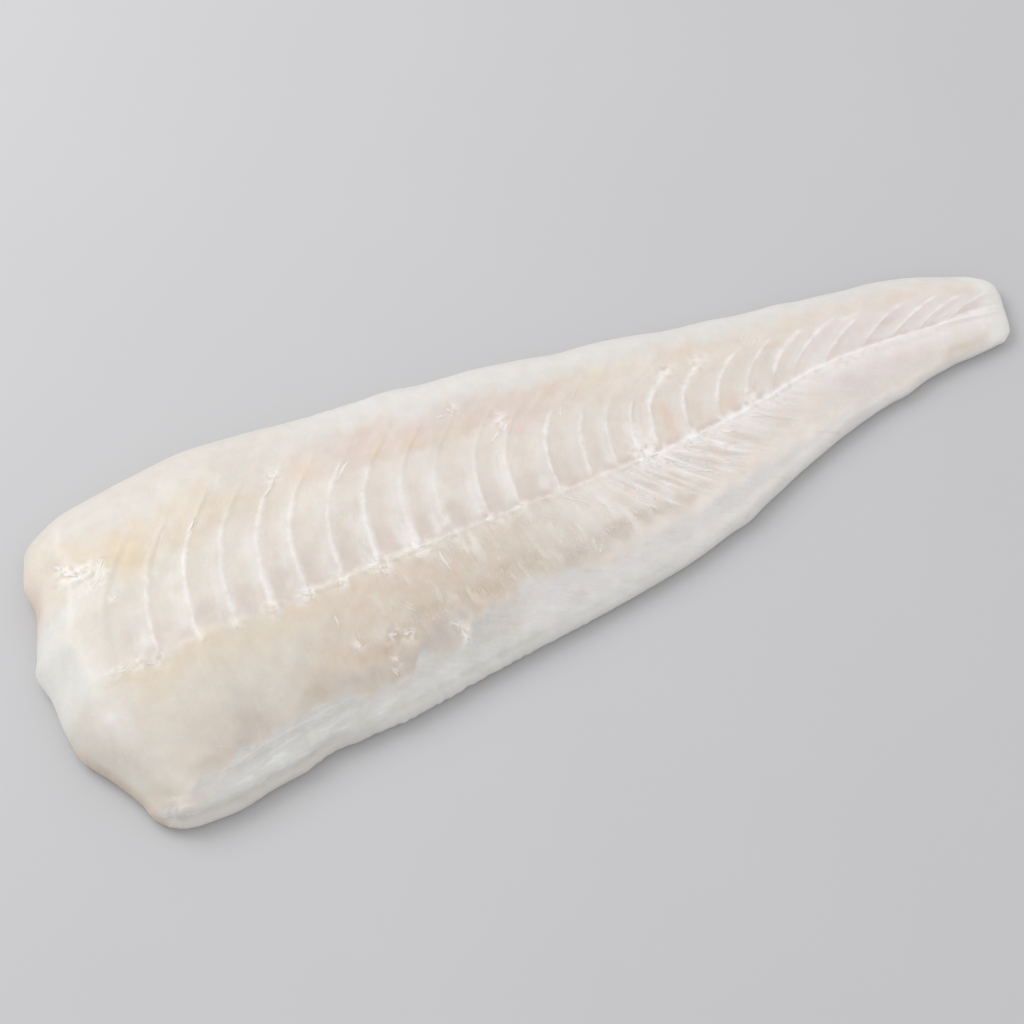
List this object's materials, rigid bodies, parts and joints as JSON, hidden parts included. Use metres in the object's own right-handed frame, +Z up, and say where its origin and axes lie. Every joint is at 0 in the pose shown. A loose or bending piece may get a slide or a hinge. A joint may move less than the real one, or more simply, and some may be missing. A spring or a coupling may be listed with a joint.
{
  "type": "raw cod fillet",
  "caption": "Raw skinless cod fillet lying inner side up: thick round back edge, thinner belly flank, slanted head cut and narrow tail, with low relief of muscle flakes beside the centre line.",
  "frame": {"origin": "centre of the bounding box on the flat skin side that lies on the table", "axes": "+X from the head cut to the tail, +Y from the belly edge to the back edge, +Z up out of the inner face"},
  "size_m": [0.465, 0.1666, 0.0322],
  "materials": {
    "flesh": "satin"
  },
  "bodies": {
    "root": {"cod_fillet": "flesh"}
  },
  "joints": []
}
